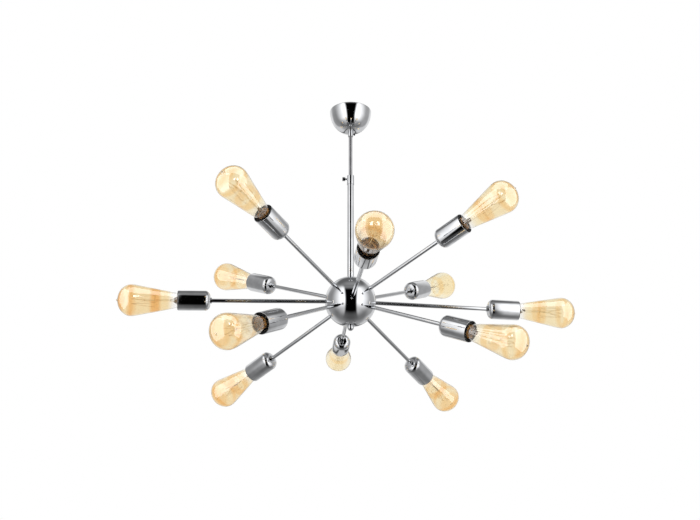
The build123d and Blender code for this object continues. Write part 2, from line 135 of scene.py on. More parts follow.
camera = bpy.data.objects.new("camera", bpy.data.cameras.new("camera"))
bpy.context.scene.collection.objects.link(camera)
camera.data.sensor_width = 36.0
camera.data.lens = FOCAL_PIXELS * camera.data.sensor_width / PICTURE_WIDTH
camera.location = HUB + direction(CAMERA_AZIMUTH, CAMERA_RISE) * CAMERA_DISTANCE
tip_up = math.degrees(math.atan(BALL_BELOW_MIDDLE / FOCAL_PIXELS))
turn_left = math.degrees(math.atan(BALL_RIGHT_OF_MIDDLE / FOCAL_PIXELS))
aim = -direction(CAMERA_AZIMUTH + turn_left, CAMERA_RISE - tip_up)
camera.rotation_euler = aim.to_track_quat("-Z", "Y").to_euler()
bpy.context.scene.camera = camera
print("lens", round(camera.data.lens, 2), "mm, tipped up", round(tip_up, 2), "degrees")

# %% [markdown]
# ## Formulas as nodes
#
# Both the studio light and the finishes need small sums: a brightness that depends on an angle, an amber
# tint that depends on a height. In Blender such a sum is a chain of Math nodes. Small helpers keep the
# chains readable: one makes a single sum, one a soft ramp between two values, and one is 1 in a range only.

# %% Node helpers
def put(tree, socket, value):
    """Types a plain value into a socket, or links one that comes from another node."""
    if isinstance(value, bpy.types.NodeSocket):
        tree.links.new(value, socket)
    else:
        socket.default_value = value


def sum_node(tree, operation, first, second=0.0):
    """One Math node. Each input is a plain value or comes from another node."""
    node = tree.nodes.new("ShaderNodeMath")
    node.operation = operation
    put(tree, node.inputs[0], first)
    put(tree, node.inputs[1], second)
    return node.outputs[0]


def ramp(tree, value, start, end, low=0.0, high=1.0):
    """Goes softly from low to high while the value goes from start to end."""
    node = tree.nodes.new("ShaderNodeMapRange")
    node.interpolation_type = "SMOOTHSTEP"
    for socket, number in zip(node.inputs, (value, start, end, low, high)):
        put(tree, socket, number)
    return node.outputs[0]


def inside(tree, value, start, end, soft):
    """1 between start and end, 0 outside, with soft edges."""
    rise = ramp(tree, value, start - soft, start + soft)
    fall = ramp(tree, value, end - soft, end + soft, 1.0, 0.0)
    return sum_node(tree, "MULTIPLY", rise, fall)


print("helpers:", put.__name__, sum_node.__name__, ramp.__name__, inside.__name__)

# %% [markdown]
# ## Light for each kind of ray
#
# A product photograph on white needs light that differs from what the camera sees. Blender can tell rays
# apart by their kind: a ray that comes straight from the camera, or through the glass, sees a plain white
# world, and a ray that left a matt surface gets an even soft light. What polished metal mirrors is built
# further down, as a room of its own.

# %% World
SOFT_LIGHT = 0.85

world = bpy.data.worlds.new("studio")
bpy.context.scene.world = world
world.use_nodes = True
world.cycles.sampling_method = "NONE"
sky = world.node_tree
sky.nodes.clear()
matt = sky.nodes.new("ShaderNodeLightPath").outputs["Is Diffuse Ray"]
background = sky.nodes.new("ShaderNodeBackground")
background.inputs["Color"].default_value = (1, 1, 1, 1)
sky.links.new(ramp(sky, matt, 0.0, 1.0, 1.0, SOFT_LIGHT), background.inputs["Strength"])
sky.links.new(background.outputs[0], sky.nodes.new("ShaderNodeOutputWorld").inputs["Surface"])
bpy.context.scene.view_settings.view_transform = "Standard"
print("white world, matt surfaces get", SOFT_LIGHT)

# %% [markdown]
# ## Panels for the glass
#
# Glass mirrors less than a tenth of what stands around it, so a panel that looks white in chrome hardly
# shows on a lamp. A photographer helps with stronger lights. Here one large panel stands at each side, one
# hangs above and two small ones give the glints. They are linked to the glass alone, so that the chrome
# keeps its dark lines, and they are hidden from the camera itself. A light's power says little about how
# bright its face is, so each panel is given by its brightness, and its power follows from its area.

# %% Area lights for the glass
PANEL_DISTANCE = 1.0
GLASS_PANELS = (
    # name, turn from the camera, rise, width, height, brightness
    ("left", -62.0, 0.0, 1.3, 1.7, 2.9),
    ("right", 62.0, 0.0, 1.3, 1.7, 2.9),
    ("above", 0.0, 62.0, 1.6, 0.9, 2.9),
    ("glint_left", -5.0, 12.0, 0.13, 0.20, 10.0),
    ("glint_right", 13.0, 12.0, 0.13, 0.20, 10.0),
)
glass_pieces = bpy.data.collections.new("glass_pieces")
for name, turned, raised, width, height, brightness in GLASS_PANELS:
    light = bpy.data.lights.new(f"glass_panel_{name}", "AREA")
    light.shape = "RECTANGLE"
    light.size, light.size_y = width, height
    light.energy = brightness * math.pi * width * height
    panel = bpy.data.objects.new(light.name, light)
    bpy.context.scene.collection.objects.link(panel)
    out = direction(CAMERA_AZIMUTH + turned, raised)
    panel.location = HUB + out * PANEL_DISTANCE
    panel.rotation_euler = out.to_track_quat("Z", "Y").to_euler()
    panel.visible_camera = panel.visible_transmission = panel.visible_diffuse = False
    panel.light_linking.receiver_collection = glass_pieces
    print(panel.name, round(light.energy, 1), "W")

# %% [markdown]
# ## Turned pieces
#
# Nearly all of a chandelier is spun or turned on a lathe, so nearly every piece here is an outline turned
# round its own axis. Two ways lead there: the Screw modifier on a curve, or a mesh made ring by ring. The
# rings are chosen, because the mesh then has clean quads, one point at each pole, and no seam.
#
# No turned edge is truly sharp. A corner with a small curve catches a thin line of light, and that line is
# what makes metal look like metal, so the helper eases every corner of an outline first. A curve never takes
# more than its share of a side, so that two curves on a short side don't meet.

# %% Outline helpers
ON_AXIS = 1e-6
SHARE_OF_SIDE = 0.45


def eased(corners, radius, steps=4):
    """Replaces each corner of a closed outline by a small curve. Distances are in mm."""
    line = []
    count = len(corners)
    for index in range(count):
        before, corner, after = (Vector(corners[(index + shift) % count]) for shift in (-1, 0, 1))
        if corner.x < ON_AXIS:
            line.append(tuple(corner))
            continue
        back, ahead = before - corner, after - corner
        cut = min(radius, back.length * SHARE_OF_SIDE, ahead.length * SHARE_OF_SIDE)
        start, end = corner + back.normalized() * cut, corner + ahead.normalized() * cut
        for step in range(steps + 1):
            t = step / steps
            line.append(tuple(start * (1 - t) ** 2 + corner * 2 * t * (1 - t) + end * t**2))
    return line


def arc_points(centre, across, high, start, end, steps=24):
    """Points of an ellipse round a centre, between two angles in degrees."""
    points = []
    for step in range(steps + 1):
        angle = math.radians(start + (end - start) * step / steps)
        points.append((centre[0] + across * math.cos(angle), centre[1] + high * math.sin(angle)))
    return points


print("an eased square has", len(eased([(1, 0), (2, 0), (2, 1), (1, 1)], 0.1)), "points")

# %% The lathe
CREASE_ANGLE = 40.0


def turned_mesh(name, outline, around=96, wobble=None):
    """Mesh from a closed outline of (radius, height) points in mm, turned round Z.

    wobble, if given, moves a point outward by a distance that depends on its angle, radius and height.
    """
    mesh_data = bpy.data.meshes.new(name)
    shape = bmesh.new()
    rings = []
    for radius, height in outline:
        if radius < ON_AXIS:
            rings.append([shape.verts.new((0, 0, height * MM))])
            continue
        ring = []
        for step in range(around):
            angle = 2 * math.pi * step / around
            reach = radius + (wobble(angle, radius, height) if wobble else 0.0)
            ring.append(shape.verts.new(
                (reach * math.cos(angle) * MM, reach * math.sin(angle) * MM, height * MM)))
        rings.append(ring)
    for ring, following in zip(rings, rings[1:] + rings[:1]):
        for step in range(around):
            nearby = (step + 1) % around
            if len(ring) == 1 and len(following) == 1:
                break
            if len(ring) == 1:
                corners = (ring[0], following[nearby], following[step])
            elif len(following) == 1:
                corners = (ring[step], ring[nearby], following[0])
            else:
                corners = (ring[step], ring[nearby], following[nearby], following[step])
            shape.faces.new(corners)
    bmesh.ops.recalc_face_normals(shape, faces=shape.faces)
    shape.to_mesh(mesh_data)
    shape.free()
    mesh_data.polygons.foreach_set("use_smooth", [True] * len(mesh_data.polygons))
    mesh_data.set_sharp_from_angle(angle=math.radians(CREASE_ANGLE))
    return mesh_data


print("edges stay creased above", CREASE_ANGLE, "degrees")


# %% Pieces and what they stand for
def place_piece(name, mesh_data, finish, place=Matrix.Identity(4)):
    """Puts a mesh into the scene with a finish, at the origin unless a place is given."""
    piece = bpy.data.objects.new(name, mesh_data)
    bpy.context.scene.collection.objects.link(piece)
    piece.matrix_world = place
    if not mesh_data.materials:
        mesh_data.materials.append(finish)
    return piece


def stands_for(piece, node):
    """The piece is shown instead of a node of the frame, and moves with that node's body."""
    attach(piece, body_of(frame["nodes"][node])[0])
    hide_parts(node)


print(len(frame["nodes"]), "nodes of the frame can be stood for")

# %% [markdown]
# ## Polished chrome
#
# Chrome is a bright mirror with a slightly cool grey. What tells the parts apart is how they were made: a
# spun bell or cup keeps faint rings from the lathe, a drawn tube has lines along its length, and a ball is
# nearly perfect, with soft clouds where it was buffed. The thin rod inside the stem is the same chrome with
# painted shade: its colour is darker, so that it mirrors less, and it is a little less smooth. All four
# finishes share one recipe. A noise stretched in one direction gives the lines, as a bump too shallow to
# break up the reflections, another one gives the clouds in the colour, and both act on the roughness.

# %% Patterns and colours
NOISE_LOW, NOISE_HIGH = 0.3, 0.7          # where nearly all of a noise lies
BOTH_LOW, BOTH_HIGH = 0.1, 0.45           # the same for the product of two
MIX_COLOURS, MIXED_COLOUR = (6, 7), 2     # a Mix node's sockets for colours


def noise(tree, coordinates, stretch, detail=3.0):
    """Noise stretched along the axes. The coordinates are in metres."""
    scaling = tree.nodes.new("ShaderNodeMapping")
    scaling.inputs["Scale"].default_value = stretch
    tree.links.new(coordinates, scaling.inputs["Vector"])
    node = tree.nodes.new("ShaderNodeTexNoise")
    node.inputs["Scale"].default_value = 1.0
    node.inputs["Detail"].default_value = detail
    tree.links.new(scaling.outputs[0], node.inputs["Vector"])
    return node.outputs[0]


def new_finish(name):
    """Empty finish: its node tree, its surface shader and the piece's own coordinates."""
    finish = bpy.data.materials.new(name)
    finish.use_nodes = True
    tree = finish.node_tree
    surface = tree.nodes["Principled BSDF"]
    own = tree.nodes.new("ShaderNodeTexCoord").outputs["Object"]
    return finish, tree, surface, own


def blended(tree, share, first, second):
    """Mixes two colours, given as plain colours or as sockets."""
    mix = tree.nodes.new("ShaderNodeMix")
    mix.data_type = "RGBA"
    put(tree, mix.inputs["Factor"], share)
    for index, colour in zip(MIX_COLOURS, (first, second)):
        put(tree, mix.inputs[index], colour if isinstance(colour, bpy.types.NodeSocket) else (*colour, 1))
    return mix.outputs[MIXED_COLOUR]


def mottled(tree, pattern, darker, lighter):
    """Colour that goes from darker to lighter with a pattern."""
    return blended(tree, ramp(tree, pattern, NOISE_LOW, NOISE_HIGH), darker, lighter)


def relief(tree, surface, pattern, depth):
    """Shallow bump from a pattern. The depth is in mm."""
    bump = tree.nodes.new("ShaderNodeBump")
    bump.inputs["Distance"].default_value = depth * MM
    tree.links.new(pattern, bump.inputs["Height"])
    tree.links.new(bump.outputs[0], surface.inputs["Normal"])


print("a noise lies between", NOISE_LOW, "and", NOISE_HIGH)


# %% Recipe for polished metal
def polished(name, lines, clouds, darker, lighter, smooth, rough, depth):
    """Polished metal with lines from its making and clouds from the buffing wheel."""
    finish, tree, surface, own = new_finish(name)
    fine = noise(tree, own, lines)
    broad = noise(tree, own, (clouds,) * 3)
    surface.inputs["Metallic"].default_value = 1.0
    tree.links.new(mottled(tree, broad, darker, lighter), surface.inputs["Base Color"])
    both = sum_node(tree, "MULTIPLY", fine, broad)
    tree.links.new(ramp(tree, both, BOTH_LOW, BOTH_HIGH, smooth, rough), surface.inputs["Roughness"])
    relief(tree, surface, fine, depth)
    return finish


CHROME_DARK, CHROME_BRIGHT = (0.70, 0.71, 0.73), (0.80, 0.81, 0.83)
# The stem's rod: the same chrome with painted shade, a darker colour so that it mirrors less.
SHADED_CHROME_DARK, SHADED_CHROME_BRIGHT = (0.40, 0.40, 0.41), (0.50, 0.50, 0.52)
chrome_spun = polished("chrome_spun", (30, 30, 1400), 60, CHROME_DARK, CHROME_BRIGHT, 0.03, 0.10, 0.0008)
chrome_drawn = polished("chrome_drawn", (700, 700, 8), 40, CHROME_DARK, CHROME_BRIGHT, 0.03, 0.10, 0.0004)
chrome_drawn_painted_shade = polished("chrome_drawn_painted_shade", (700, 700, 8), 40, SHADED_CHROME_DARK, SHADED_CHROME_BRIGHT, 0.06, 0.14, 0.0004)
chrome_ball = polished("chrome_ball", (90, 90, 90), 30, CHROME_DARK, CHROME_BRIGHT, 0.015, 0.06, 0.001)
print("polished finishes:", chrome_spun.name, chrome_drawn.name, chrome_drawn_painted_shade.name, chrome_ball.name)

# %% [markdown]
# ## The canopy
#
# The canopy is a spun steel bell. Its rim is turned over a former, so it ends in a small bead and not in
# a knife edge. The outline goes from the hole for the rod, over the flat land, along a quarter of an
# ellipse to the rim, and back on the inside.

# %% Canopy
CANOPY_RADIUS, CANOPY_DEPTH, CANOPY_WALL = 46.0, 50.0, 1.2
CANOPY_LAND, CANOPY_HOLE = 7.0, 4.1

span = CANOPY_RADIUS - CANOPY_LAND
inner_depth = CANOPY_DEPTH - CANOPY_WALL
bead_radius = CANOPY_WALL / 2
outer = arc_points((CANOPY_LAND, 0), span, CANOPY_DEPTH, 270, 360)[1:-1]
inner = arc_points((CANOPY_LAND, 0), span - CANOPY_WALL, inner_depth, 360, 270)[1:-1]
bead = arc_points((CANOPY_RADIUS - bead_radius, -bead_radius), bead_radius, bead_radius, 0, 180, 8)
lip = [(CANOPY_LAND, -inner_depth), (CANOPY_HOLE, -inner_depth),
       (CANOPY_HOLE, -CANOPY_DEPTH), (CANOPY_LAND, -CANOPY_DEPTH)]
bell_mesh = turned_mesh("canopy_bell", outer + bead + inner + lip, 160)
canopy = place_piece("canopy_bell", bell_mesh, chrome_spun)
stands_for(canopy, "canopy_cup")
print("canopy bell:", len(canopy.data.polygons), "faces")

# %% [markdown]
# ## The stem
#
# The rod and the wider tube are drawn tubes, cut off and chamfered. They could stay as they are in the
# frame, but each cut end gets an eased edge here, which shows where the tube begins below the rod. The rod's
# chrome gets painted shade, a darker colour, so that the brighter tube stands out from it.

# %% Rod and tube
STEM_PIECES = (
    # piece, node, outer radius, bore radius, easing, finish
    # the rod: chrome with painted shade, darker so that the tube stands out from it
    ("stem_rod", "upper_rod", 4.0, 2.6, 0.4, chrome_drawn_painted_shade),
    ("stem_tube", "drop_tube", 7.0, 5.0, 0.6, chrome_drawn),
)
for name, node, radius, bore, easing, finish in STEM_PIECES:
    low, high = (corner.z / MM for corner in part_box(node))
    corners = [(bore, low), (radius, low), (radius, high), (bore, high)]
    piece = place_piece(name, turned_mesh(name, eased(corners, easing), 72), finish)
    stands_for(piece, node)
    print(name, "from", round(low, 1), "to", round(high, 1), "mm")

# %% [markdown]
# ## Collars and the dome nut
#
# Three small turned pieces sit on the stem: the collar that carries the canopy, the clamp on the tube's
# head and the dome nut under the ball. At this size the shine along an edge is most of what the eye sees, so
# they are turned again with eased edges. The dome nut has a short neck before its round end.

# %% Collars
RING_BORE, RING_RADIUS, RING_LOW, RING_HIGH = 4.05, 5.8, -62.0, -50.0
CLAMP_RADIUS, CLAMP_LOW, CLAMP_HIGH = 7.8, -179.0, -158.0
TUBE_SEAT, BUSH_SEAT, ROD_HOLE = 7.05, 6.05, 4.2        # the clamp's three bores
TUBE_HEAD, BUSH_HEAD = -172.4, -160.0                   # where the wider bores end
COLLAR_PIECES = (
    # piece, node, easing, outline
    ("canopy_ring", "canopy_collar", 0.5, (
        (RING_BORE, RING_LOW), (RING_RADIUS, RING_LOW), (RING_RADIUS, RING_HIGH), (RING_BORE, RING_HIGH))),
    ("clamp_ring", "clamp_collar", 0.45, (
        (TUBE_SEAT, CLAMP_LOW), (CLAMP_RADIUS, CLAMP_LOW),
        (CLAMP_RADIUS, CLAMP_HIGH), (ROD_HOLE, CLAMP_HIGH),
        (ROD_HOLE, BUSH_HEAD), (BUSH_SEAT, BUSH_HEAD),
        (BUSH_SEAT, TUBE_HEAD), (TUBE_SEAT, TUBE_HEAD))),
)
for name, node, easing, outline in COLLAR_PIECES:
    ring = place_piece(name, turned_mesh(name, eased(outline, easing), 72), chrome_spun)
    stands_for(ring, node)
    print(name, "with", len(ring.data.polygons), "faces")

# %% Dome nut
FINIAL_RADIUS, FINIAL_SKIRT = 6.9, 3.0
FINIAL_BORE, FINIAL_BORE_DEPTH = 4.925, 5.1
NECK_PROFILE = ((0.0, 0.0), (0.0, 0.9), (0.7, 1.2), (0.7, 1.9), (0.0, 2.2))     # cut in, distance down

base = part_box("finial")[1].z / MM
bore_end = base - FINIAL_BORE_DEPTH
neck_line = [(FINIAL_RADIUS - cut, base - down) for cut, down in NECK_PROFILE]
dome = arc_points((0, base - FINIAL_SKIRT), FINIAL_RADIUS, FINIAL_RADIUS, 0, -90)
outline = [(0, bore_end), (FINIAL_BORE, bore_end), (FINIAL_BORE, base)] + neck_line + dome
finial = place_piece("dome_nut", turned_mesh("dome_nut", outline, 72), chrome_spun)
stands_for(finial, "finial")
print("dome nut ends", round(base - FINIAL_SKIRT - FINIAL_RADIUS, 1), "mm below the ceiling")

# %% [markdown]
# ## The ball
#
# The ball is spun in one piece and polished to a mirror. A cap closes the opening at its underside, and the
# joint shows as a fine line. A mirror shows every fault of its mesh, so the ball is turned again here with
# rings much closer than the frame needs. The small holes of the arms lie under the arms and stay with the
# frame.

# %% Helpers for the ball's wall
HUB_WALL = 1.5
CAP_EDGE = 19.0
STEM_HOLE = 7.0
END_EASING, END_SHARE = 0.25, 0.4
CAP_JOINT = 0.2                    # degrees of gap between the ball and its cap
cap_angle = math.degrees(math.asin(CAP_EDGE / HUB_RADIUS))
hole_angle = math.degrees(math.asin(STEM_HOLE / HUB_RADIUS))
print("ball opening", round(cap_angle, 1), "degrees from straight down")


def shell_outline(start, end, steps):
    """Part of the ball's wall between two angles from straight down, in degrees."""
    outside = arc_points((0, 0), HUB_RADIUS, HUB_RADIUS, start - 90, end - 90, steps)
    within = arc_points((0, 0), HUB_RADIUS - HUB_WALL, HUB_RADIUS - HUB_WALL, end - 90, start - 90, steps)
    return outside + within


def with_rounded_ends(outline, steps):
    """Eases the four corners of a shell's outline."""
    corners = {0, steps, steps + 1, len(outline) - 1}
    line = []
    for index, point in enumerate(outline):
        if index not in corners:
            line.append(point)
            continue
        here = Vector(point)
        for neighbour in (outline[index - 1], outline[(index + 1) % len(outline)]):
            away = Vector(neighbour) - here
            line.append(tuple(here + away.normalized() * min(END_EASING, away.length * END_SHARE)))
    return line


# %% Ball and its cap
at_hub = Matrix.Translation(HUB)
BALL_PIECES = (
    # piece, node, start and end in degrees from straight down, rings, points round
    ("polished_ball", "hub_ball", cap_angle, 180 - hole_angle, 120, 192),
    ("ball_cap", "hub_bottom_cap", hole_angle, cap_angle - CAP_JOINT, 24, 128),
)
for name, node, start, end, steps, around in BALL_PIECES:
    outline = with_rounded_ends(shell_outline(start, end, steps), steps)
    piece = place_piece(name, turned_mesh(name, outline, around), chrome_ball, at_hub)
    stands_for(piece, node)
    print(name, "with", len(piece.data.polygons), "faces")

# %% [markdown]
# ## The arms
#
# Each arm is a drawn tube that stands on the ball with a small shoulder. At the cup a thin nut holds it.
# The twelve tubes come in two lengths only, so two meshes serve all of them: copies share their mesh,
# which keeps the scene small and makes a later change a single change.

# %% Arm tubes
ARM_RADIUS, SPIGOT_RADIUS, ARM_BORE = 4.0, 3.5, 2.4
SPIGOT_LENGTH, SPIGOT_CHAMFER, GRIP = 15.0, 0.2, 12.0


def arm_outline(reach):
    """Wall of an arm's tube, from inside the ball to the nut in the cup."""
    inner_end, outer_end = HUB_RADIUS - SPIGOT_LENGTH, reach + GRIP
    return eased([(ARM_BORE, inner_end), (SPIGOT_RADIUS, inner_end),
                  (SPIGOT_RADIUS, HUB_RADIUS - SPIGOT_CHAMFER), (ARM_RADIUS, HUB_RADIUS),
                  (ARM_RADIUS, outer_end), (ARM_BORE, outer_end)], 0.3)


tube_meshes = {}
for number, (azimuth, rise, reach) in enumerate(ARMS, 1):
    if reach not in tube_meshes:
        tube_meshes[reach] = turned_mesh(f"arm_tube_{reach:.0f}", arm_outline(reach), 64)
    tube = place_piece(f"arm_{number:02d}", tube_meshes[reach], chrome_drawn, arm_place(azimuth, rise))
    stands_for(tube, f"arm_tube_{number:02d}")
print("arm lengths:", sorted(tube_meshes))

# %% [markdown]
# ## The lamp cups
#
# A cup is a deep spun sleeve with a rounded shoulder. Its rim is only as thick as the sheet, and its edge
# is rounded. All twelve cups are the same, so one mesh is enough.

# %% Lamp cups
CUP_RADIUS, CUP_WALL, CUP_LAND, CUP_SHOULDER, CUP_HOLE = 20.5, 0.8, 8.5, 11.0, 4.1

span = CUP_RADIUS - CUP_LAND
centre = (CUP_LAND, CUP_SHOULDER)
half_wall = CUP_WALL / 2
cup_outside = arc_points(centre, span, CUP_SHOULDER, 270, 360)
cup_inside = arc_points(centre, span - CUP_WALL, CUP_SHOULDER - CUP_WALL, 360, 270)
cup_rim = arc_points((CUP_RADIUS - half_wall, CUP_LENGTH - half_wall), half_wall, half_wall, 0, 180, 8)
cup_floor = [(CUP_HOLE, CUP_WALL), (CUP_HOLE, 0.0)]
cup_mesh = turned_mesh("lamp_cup", cup_outside + cup_rim + cup_inside + cup_floor, 128)
for number, (azimuth, rise, reach) in enumerate(ARMS, 1):
    cup = place_piece(f"lamp_cup_{number:02d}", cup_mesh, chrome_spun, arm_place(azimuth, rise, reach))
    stands_for(cup, f"socket_cup_{number:02d}")
print("lamp cup:", len(cup_mesh.polygons), "faces, used", len(ARMS), "times")

# %% [markdown]
# ## Finishes of the working parts
#
# Inside the cups sit black moulded lamp holders with brass contacts, and under the ceiling hide zinc-plated
# steel, a nylon terminal block and brass nuts. These parts are small, but they show from above and when a
# lamp is unscrewed. Each finish gets what the real material has: moulded plastic a fine grain, zinc its
# bluish and yellowish clouds, brass some tarnish.

# %% Moulded black, nylon, zinc and brass
GRAIN_SCALE, SHADE_SCALE = 1500, 120


def moulded(name, darker, lighter, smooth, rough, depth):
    """Moulded plastic with a fine grain."""
    finish, tree, surface, own = new_finish(name)
    grain = noise(tree, own, (GRAIN_SCALE,) * 3, 2.0)
    broad = noise(tree, own, (SHADE_SCALE,) * 3)
    tree.links.new(mottled(tree, broad, darker, lighter), surface.inputs["Base Color"])
    tree.links.new(ramp(tree, grain, NOISE_LOW, NOISE_HIGH, smooth, rough), surface.inputs["Roughness"])
    relief(tree, surface, grain, depth)
    return finish


BLACK_SHEEN = 0.12
ZINC_YELLOWISH, ZINC_BLUISH = (0.50, 0.50, 0.47), (0.66, 0.68, 0.72)
BRASS_TARNISHED, BRASS_BRIGHT = (0.50, 0.33, 0.13), (0.78, 0.58, 0.27)
holder_black = moulded("holder_black", (0.002, 0.002, 0.002), (0.005, 0.005, 0.006), 0.30, 0.45, 0.02)
holder_black.node_tree.nodes["Principled BSDF"].inputs["Specular IOR Level"].default_value = BLACK_SHEEN
white_nylon = moulded("nylon_white", (0.70, 0.69, 0.64), (0.80, 0.79, 0.75), 0.35, 0.5, 0.02)
zinc = polished("zinc_plated", (300, 300, 300), 90, ZINC_YELLOWISH, ZINC_BLUISH, 0.22, 0.42, 0.006)
brass = polished("brass_turned", (300, 300, 300), 110, BRASS_TARNISHED, BRASS_BRIGHT, 0.14, 0.32, 0.004)

NODE_FINISHES = {
    zinc: ("ceiling_bracket", "rod_nuts", "arm_nuts", "hub_tie_tube", "rod_stop"),
    brass: ("earth_screw", "terminal_screws", "holder_contacts"),
    white_nylon: ("terminal_block", "tube_bush"),
    holder_black: ("lamp_holders_level", "lamp_holders_upper", "lamp_holders_lower"),
    chrome_spun: ("canopy_screw", "clamp_screw", "cup_nuts"),
}
for finish, names in NODE_FINISHES.items():
    for node in names:
        skin = frame["nodes"][node]
        if not skin.material_slots:
            skin.data.materials.append(finish)
        for holder in skin.material_slots:
            holder.material = finish
    print(finish.name, "on", len(names), "nodes")

# %% [markdown]
# ## Amber glass
#
# The lamps are blown from clear glass and coated amber by dipping. The coat stays clear of the neck, where
# the glass is held, and it isn't even: it gathers on the crown, where the pear is widest and low on the cone,
# and it runs thin in between. Glass could be imitated with a half-transparent
# skin, but real refraction in a wall with two faces gives the doubled highlights by itself. The coat is
# denser than bare glass, so it bends and mirrors light a little more: its index is 1.7 and not 1.5.
#
# The coat's thickness follows the height above the cup's rim, which each point of the glass carries as an
# attribute, and a slow noise shifts that height so that no border is sharp. A second attribute says how long
# the whole lamp was dipped, because no two lamps of a batch come out quite alike. The outline is darker, and
# part of that is real: light that grazes the wall passes through much more of the coat. The rest is painted
# shade: a grey-brown for the darker room that the edge of the glass bends into view.

# %% Glass finishes
HEAVY_THIN, HEAVY_THICK = (0.98, 0.875, 0.665), (0.945, 0.70, 0.41)
LIGHT_THIN, LIGHT_THICK = (0.993, 0.956, 0.813), (0.986, 0.85, 0.586)
CLEAR, GRAZED_PAINTED_SHADE = (0.99, 0.99, 0.985), (0.80, 0.70, 0.58)
COAT_STARTS, COAT_FULL = 6.0, 24.0
THICK_RINGS = ((36.0, 54.0), (89.0, 99.0), (110.0, 140.0))        # from and to, in mm above the rim
RING_SOFTNESS = 4.0
WAVER, WAVER_SCALE = 9.0, 28
PATCH_SCALE, PATCH_LOW, PATCH_HIGH, PATCH_DEPTH = 16, 0.50, 0.80, 0.40
GRAZING_FROM, GRAZING_TO = 0.72, 0.97


def carried(tree, name):
    """Value that each point of a mesh carries."""
    node = tree.nodes.new("ShaderNodeAttribute")
    node.attribute_name = name
    return node.outputs["Fac"]


amber_glass, tree, glass, own = new_finish("amber_coated_glass")
wave = sum_node(tree, "SUBTRACT", noise(tree, own, (WAVER_SCALE,) * 3), 0.5)
level = sum_node(tree, "ADD", carried(tree, "above_rim"), sum_node(tree, "MULTIPLY", wave, WAVER * MM))
thick = ramp(tree, noise(tree, own, (PATCH_SCALE,) * 3), PATCH_LOW, PATCH_HIGH, 0.0, PATCH_DEPTH)
for low, high in THICK_RINGS:
    thick = sum_node(tree, "MAXIMUM", thick, inside(tree, level, low * MM, high * MM, RING_SOFTNESS * MM))
coat = blended(tree, carried(tree, "dip"), blended(tree, thick, LIGHT_THIN, LIGHT_THICK),
               blended(tree, thick, HEAVY_THIN, HEAVY_THICK))
coat = blended(tree, ramp(tree, level, COAT_STARTS * MM, COAT_FULL * MM), CLEAR, coat)
# Painted shade at the outline: the colour turns grey-brown where the glass is seen edge-on, for the longer
# path through the coat and for the darker room that the edge bends into view.
grazing = tree.nodes.new("ShaderNodeLayerWeight")
grazing.inputs["Blend"].default_value = 0.5
edge = ramp(tree, grazing.outputs["Facing"], GRAZING_FROM, GRAZING_TO)
tree.links.new(blended(tree, edge, coat, GRAZED_PAINTED_SHADE), glass.inputs["Base Color"])
glass.inputs["Transmission Weight"].default_value = 1.0
glass.inputs["Roughness"].default_value = 0.05
glass.inputs["IOR"].default_value = 1.7
print("coat from", COAT_STARTS, "to", COAT_FULL, "mm above the rim, thicker in", len(THICK_RINGS), "rings")

# %% Clear glass
clear_glass, tree, glass, own = new_finish("clear_glass")
tint = mottled(tree, noise(tree, own, (200,) * 3), (0.90, 0.87, 0.80), (0.97, 0.95, 0.90))
tree.links.new(tint, glass.inputs["Base Color"])
haze = ramp(tree, noise(tree, own, (300,) * 3), NOISE_LOW, NOISE_HIGH, 0.0, 0.05)
tree.links.new(haze, glass.inputs["Roughness"])
glass.inputs["Transmission Weight"].default_value = 1.0
glass.inputs["IOR"].default_value = 1.5
print("finishes of glass:", amber_glass.name, clear_glass.name)

# %% [markdown]
# ## The shape of a lamp
#
# The envelope is a pear: a straight neck in the screw cap, a slender cone, a long shoulder and a domed
# crown with the small nipple where the pump was sealed off. Its outline is worked out from the same few
# numbers that a glassmaker's drawing gives. The wall has real thickness, because a solid drop of glass would
# bend the light like a magnifier.

# %% Envelope
BULB_RADIUS, BULB_WIDEST, BULB_CROWN = 32.0, 93.0, 27.0
CONE_ANGLE, SHOULDER = 11.0, 50.0
BULB_WALL = 0.8
NECK_RADIUS, NECK_LOW, FLARE_LOW = 12.7, -11.0, -2.9
CONE_STEPS, NECK_STEPS = 30, 6
cone_slope = math.tan(math.radians(CONE_ANGLE))


def envelope_side(inset):
    """Outline from the neck to the crown's top, moved inward by the inset.

    The cone starts where a flare of 45 degrees, from the neck's top, meets its line.
    """
    radius, shoulder = BULB_RADIUS - inset, SHOULDER - inset
    arc = arc_points((radius - shoulder, BULB_WIDEST), shoulder, shoulder, -CONE_ANGLE, 0, 14)
    wide, high = arc[0]
    neck = NECK_RADIUS - inset
    flare_high = (wide - cone_slope * high - neck + FLARE_LOW) / (1 - cone_slope)
    flare_wide = neck + flare_high - FLARE_LOW
    cone = [(flare_wide + (wide - flare_wide) * step / CONE_STEPS,
             flare_high + (high - flare_high) * step / CONE_STEPS) for step in range(CONE_STEPS)]
    neck_line = [(neck, NECK_LOW + (FLARE_LOW - NECK_LOW) * step / NECK_STEPS)
                 for step in range(NECK_STEPS)]
    crown = arc_points((0, BULB_WIDEST), radius, BULB_CROWN - inset, 0, 90, 40)[1:-1]
    return neck_line + cone + arc + crown


def softened(line, rounds):
    """Evens out the corners of an open line. Its ends stay."""
    for _ in range(rounds):
        evened = [((a[0] + 2 * b[0] + c[0]) / 4, (a[1] + 2 * b[1] + c[1]) / 4)
                  for a, b, c in zip(line, line[1:], line[2:])]
        line = [line[0], *evened, line[-1]]
    return line


print("outline of", len(envelope_side(0.0)), "points")

